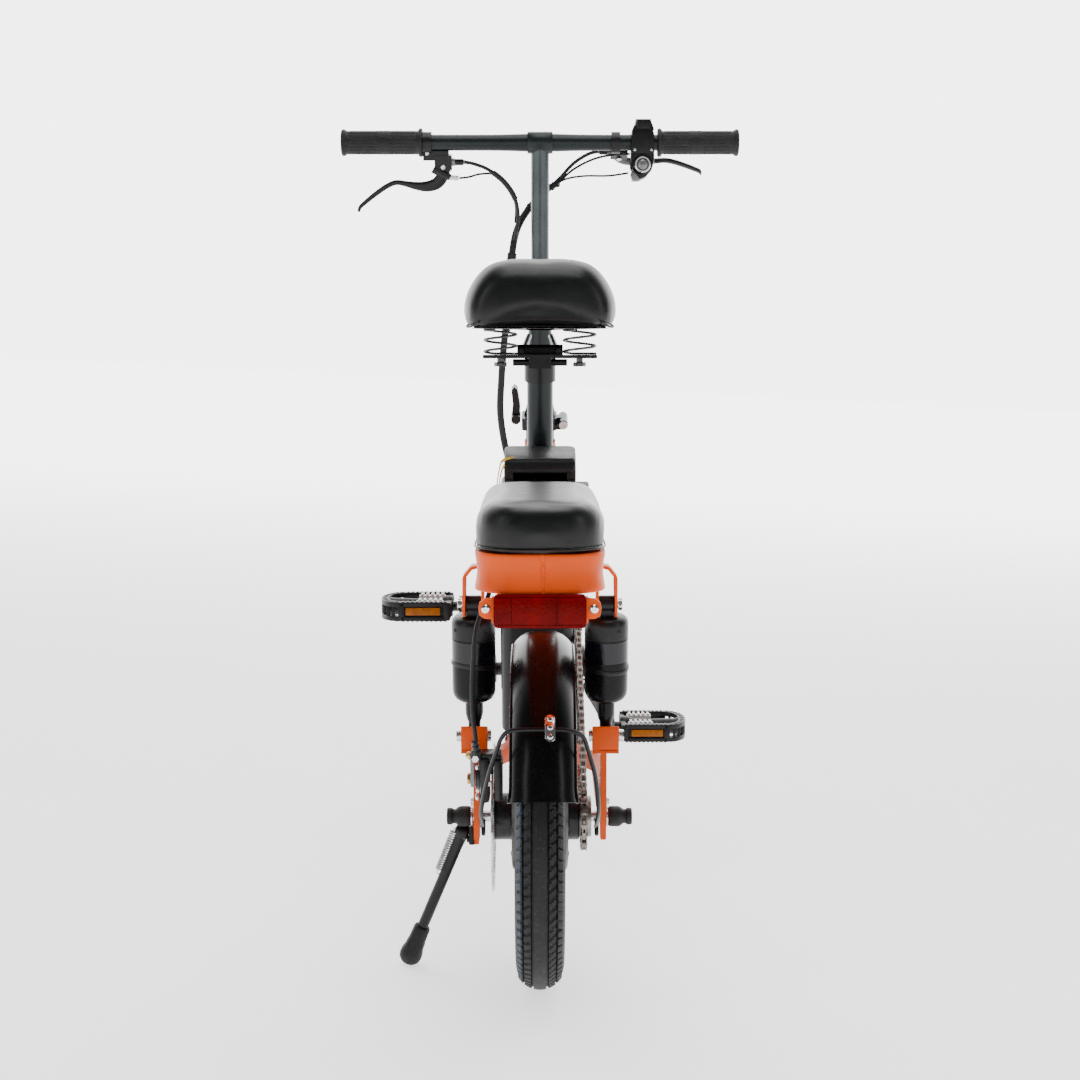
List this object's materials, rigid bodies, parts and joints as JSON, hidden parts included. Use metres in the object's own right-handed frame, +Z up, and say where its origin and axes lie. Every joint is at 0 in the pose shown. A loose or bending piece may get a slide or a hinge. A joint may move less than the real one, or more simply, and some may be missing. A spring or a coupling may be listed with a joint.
{
  "type": "folding bicycle",
  "caption": "Folding electric bicycle with small cast wheels, rear suspension, padded rack seat, removable battery, folding frame and folding stem, on its kickstand.",
  "frame": {"origin": "on the ground, at the centre of the whole bicycle's footprint box", "axes": "+Y forward, +X to the rider's right, +Z up; the bicycle leans 3 degrees to its left on its kickstand"},
  "size_m": [0.5572, 1.27, 1.0098],
  "materials": {
    "frame_paint": "satin",
    "black_paint": "gloss",
    "black_steel": "satin",
    "bright_steel": "brushed",
    "tyre": "matte",
    "cast_alloy": "satin",
    "fender_black": "gloss",
    "black_plastic": "matte",
    "vinyl": "satin",
    "rubber": "matte",
    "red_lens": "gloss",
    "battery_shell": "satin",
    "spring_steel": "satin"
  },
  "bodies": {
    "root": {"seat_tube": "frame_paint", "main_tube_rear": "frame_paint", "frame_hinge_pin": "bright_steel", "rear_rack": "frame_paint", "reflector_bracket": "frame_paint", "rear_reflector": "red_lens", "pillion_pad": "vinyl", "upper_shock_bolts": "bright_steel", "seat_clamp": "black_steel", "rear_brake_cable": "rubber", "chain": "bright_steel"},
    "frame_latch": {"frame_latch_lever": "black_steel"},
    "front_frame": {"main_tube_front": "frame_paint", "head_tube": "frame_paint", "cable_bundle": "rubber"},
    "fork": {"fork": "black_paint", "front_fender": "fender_black", "front_axle": "bright_steel", "front_caliper": "cast_alloy", "stem_base": "black_paint", "stem_hinge_pin": "bright_steel"},
    "front_brake_arm": {"front_caliper_arm": "cast_alloy"},
    "front_wheel": {"front_tyre": "tyre", "front_rim": "cast_alloy", "front_rotor": "bright_steel"},
    "stem": {"stem_post": "black_paint"},
    "stem_latch": {"stem_latch_lever": "black_steel"},
    "stem_clamp": {"stem_clamp_lever": "black_steel"},
    "bars": {"upper_stem": "black_paint", "handlebar": "black_paint", "grips": "rubber", "control_pod": "black_plastic", "brake_mounts": "black_paint"},
    "button": {"mode_button": "black_plastic"},
    "left_lever": {"brake_lever_left": "cast_alloy"},
    "right_lever": {"brake_lever_right": "cast_alloy"},
    "seat": {"seatpost": "black_paint", "saddle_frame": "black_steel", "saddle_springs": "spring_steel"},
    "saddle": {"saddle_cushion": "vinyl"},
    "seat_lever": {"seat_clamp_lever": "black_steel"},
    "battery": {"battery_case": "battery_shell", "battery_cap": "black_plastic"},
    "crank": {"crankset": "cast_alloy"},
    "left_pedal": {"pedal_left": "black_plastic"},
    "right_pedal": {"pedal_right": "black_plastic"},
    "swingarm": {"swingarm": "frame_paint", "swingarm_bolts": "bright_steel", "rear_fender": "fender_black", "rear_caliper": "cast_alloy", "rear_axle": "spring_steel"},
    "rear_brake_arm": {"rear_caliper_arm": "cast_alloy"},
    "shock_bodies": {"shock_bodies": "black_paint"},
    "shock_rods": {"shock_rods": "bright_steel"},
    "rear_wheel": {"rear_tyre": "tyre", "rear_rim": "cast_alloy", "hub_motor": "cast_alloy", "rear_rotor": "bright_steel"},
    "freewheel": {"freewheel": "bright_steel"},
    "kickstand": {"kickstand": "black_steel"}
  },
  "joints": [
    {"name": "frame_fold", "type": "hinge", "parent": "root", "child": "front_frame", "pos_m": [-0.01937, 0.093, 0.38389], "axis": [-0.0523, 0, 0.9986], "range_deg": [0, 140]},
    {"name": "frame_latch_open", "type": "hinge", "parent": "root", "child": "frame_latch", "pos_m": [0.07949, 0.087, 0.38907], "axis": [-0.0523, 0, 0.9986], "range_deg": [0, 100]},
    {"name": "steering", "type": "hinge", "parent": "front_frame", "child": "fork", "pos_m": [0.02056, 0.324, 0.57725], "axis": [-0.0508, -0.2419, 0.969], "range_deg": [-60, 60], "deforming": ["cable_bundle"]},
    {"name": "front_wheel_spin", "type": "hinge", "parent": "fork", "child": "front_wheel", "pos_m": [0.04129, 0.453, 0.18179], "axis": [-0.9986, 0, -0.0523], "continuous": true},
    {"name": "stem_fold", "type": "hinge", "parent": "fork", "child": "stem", "pos_m": [0.05452, 0.324, 0.57902], "axis": [-0.0127, 0.9703, 0.2416], "range_deg": [0, 120], "deforming": ["cable_bundle"]},
    {"name": "stem_latch_open", "type": "hinge", "parent": "stem", "child": "stem_latch", "pos_m": [-0.01519, 0.32255, 0.5812], "axis": [0.0127, -0.9703, -0.2416], "range_deg": [0, 100]},
    {"name": "stem_clamp_open", "type": "hinge", "parent": "stem", "child": "stem_clamp", "pos_m": [0.0284, 0.25159, 0.75257], "axis": [0.0508, 0.2419, -0.969], "range_deg": [0, 100]},
    {"name": "stem_height", "type": "slide", "parent": "stem", "child": "bars", "axis": [-0.0508, -0.2419, 0.969], "range_m": [-0.1, 0.02], "deforming": ["cable_bundle"]},
    {"name": "brake_pull_left", "type": "hinge", "parent": "bars", "child": "left_lever", "pos_m": [-0.13415, 0.23456, 0.93073], "axis": [-0.0135, 0.9659, 0.2585], "range_deg": [0, 15], "stiffness_Nm_per_rad": 1.5, "springref_deg": -11.46},
    {"name": "brake_pull_right", "type": "hinge", "parent": "bars", "child": "right_lever", "pos_m": [0.11243, 0.25703, 0.96427], "axis": [0.0492, -0.342, -0.9384], "range_deg": [0, 15], "stiffness_Nm_per_rad": 1.5, "springref_deg": -11.46},
    {"name": "mode_press", "type": "slide", "parent": "bars", "child": "button", "axis": [0, 1, 0], "range_m": [0, 0.0015], "stiffness_N_per_m": 600, "springref_m": -0.0005},
    {"name": "seat_height", "type": "slide", "parent": "root", "child": "seat", "axis": [-0.0508, -0.2419, 0.969], "range_m": [-0.05, 0.08]},
    {"name": "seat_clamp_open", "type": "hinge", "parent": "root", "child": "seat_lever", "pos_m": [0.03759, -0.12039, 0.55808], "axis": [-0.0508, -0.2419, 0.969], "range_deg": [0, 90]},
    {"name": "saddle_bounce", "type": "hinge", "parent": "seat", "child": "saddle", "pos_m": [0.01392, -0.025, 0.70407], "axis": [0.9986, 0, 0.0523], "range_deg": [0, 3.5], "stiffness_Nm_per_rad": 900, "springref_deg": -1.15, "deforming": ["saddle_springs"]},
    {"name": "battery_lift", "type": "slide", "parent": "root", "child": "battery", "axis": [-0.0508, -0.2419, 0.969], "range_m": [0, 0.08]},
    {"name": "pedalling", "type": "hinge", "parent": "root", "child": "crank", "pos_m": [0.03616, -0.082, 0.27965], "axis": [-0.9986, 0, -0.0523], "continuous": true},
    {"name": "pedal_left_spin", "type": "hinge", "parent": "crank", "child": "left_pedal", "pos_m": [-0.1165, -0.16861, 0.36466], "axis": [-0.9986, 0, -0.0523], "continuous": true},
    {"name": "pedal_right_spin", "type": "hinge", "parent": "crank", "child": "right_pedal", "pos_m": [0.18882, 0.00461, 0.19464], "axis": [-0.9986, 0, -0.0523], "continuous": true},
    {"name": "rear_suspension", "type": "hinge", "parent": "root", "child": "swingarm", "pos_m": [0.0405, -0.127, 0.19677], "axis": [-0.9986, 0, -0.0523], "range_deg": [0, 3], "stiffness_Nm_per_rad": 4000, "springref_deg": -2.86, "deforming": ["chain", "rear_brake_cable"]},
    {"name": "shock_swing", "type": "hinge", "parent": "root", "child": "shock_bodies", "pos_m": [0.02894, -0.457, 0.41746], "axis": [0.9986, 0, 0.0523], "range_deg": [0, 3]},
    {"name": "shock_slide", "type": "slide", "parent": "shock_bodies", "child": "shock_rods", "axis": [-0.0518, -0.1366, 0.9893], "range_m": [0, 0.016]},
    {"name": "rear_wheel_spin", "type": "hinge", "parent": "swingarm", "child": "rear_wheel", "pos_m": [0.04129, -0.427, 0.18179], "axis": [-0.9986, 0, -0.0523], "continuous": true},
    {"name": "freewheel_spin", "type": "hinge", "parent": "swingarm", "child": "freewheel", "pos_m": [0.04129, -0.427, 0.18179], "axis": [-0.9986, 0, -0.0523], "continuous": true},
    {"name": "rear_brake_arm", "type": "hinge", "parent": "swingarm", "child": "rear_brake_arm", "pos_m": [-0.02745, -0.477, 0.23226], "axis": [-0.9986, 0, -0.0523], "range_deg": [0, 12]},
    {"name": "front_brake_arm", "type": "hinge", "parent": "fork", "child": "front_brake_arm", "pos_m": [-0.00127, 0.399, 0.22963], "axis": [-0.9986, 0, -0.0523], "range_deg": [0, 12]},
    {"name": "kickstand_fold", "type": "hinge", "parent": "swingarm", "child": "kickstand", "pos_m": [-0.03645, -0.415, 0.15568], "axis": [-0.9426, 0, 0.334], "range_deg": [0, 95.7]}
  ],
  "couplings": [
    {"joint": "shock_swing", "follows": "rear_suspension", "ratio": 0.9561},
    {"joint": "shock_slide", "follows": "rear_suspension", "m_per_rad": 0.29035},
    {"joint": "freewheel_spin", "follows": "pedalling", "ratio": 2.75},
    {"joint": "rear_brake_arm", "follows": "brake_pull_right", "ratio": 0.7},
    {"joint": "front_brake_arm", "follows": "brake_pull_left", "ratio": 0.7}
  ]
}
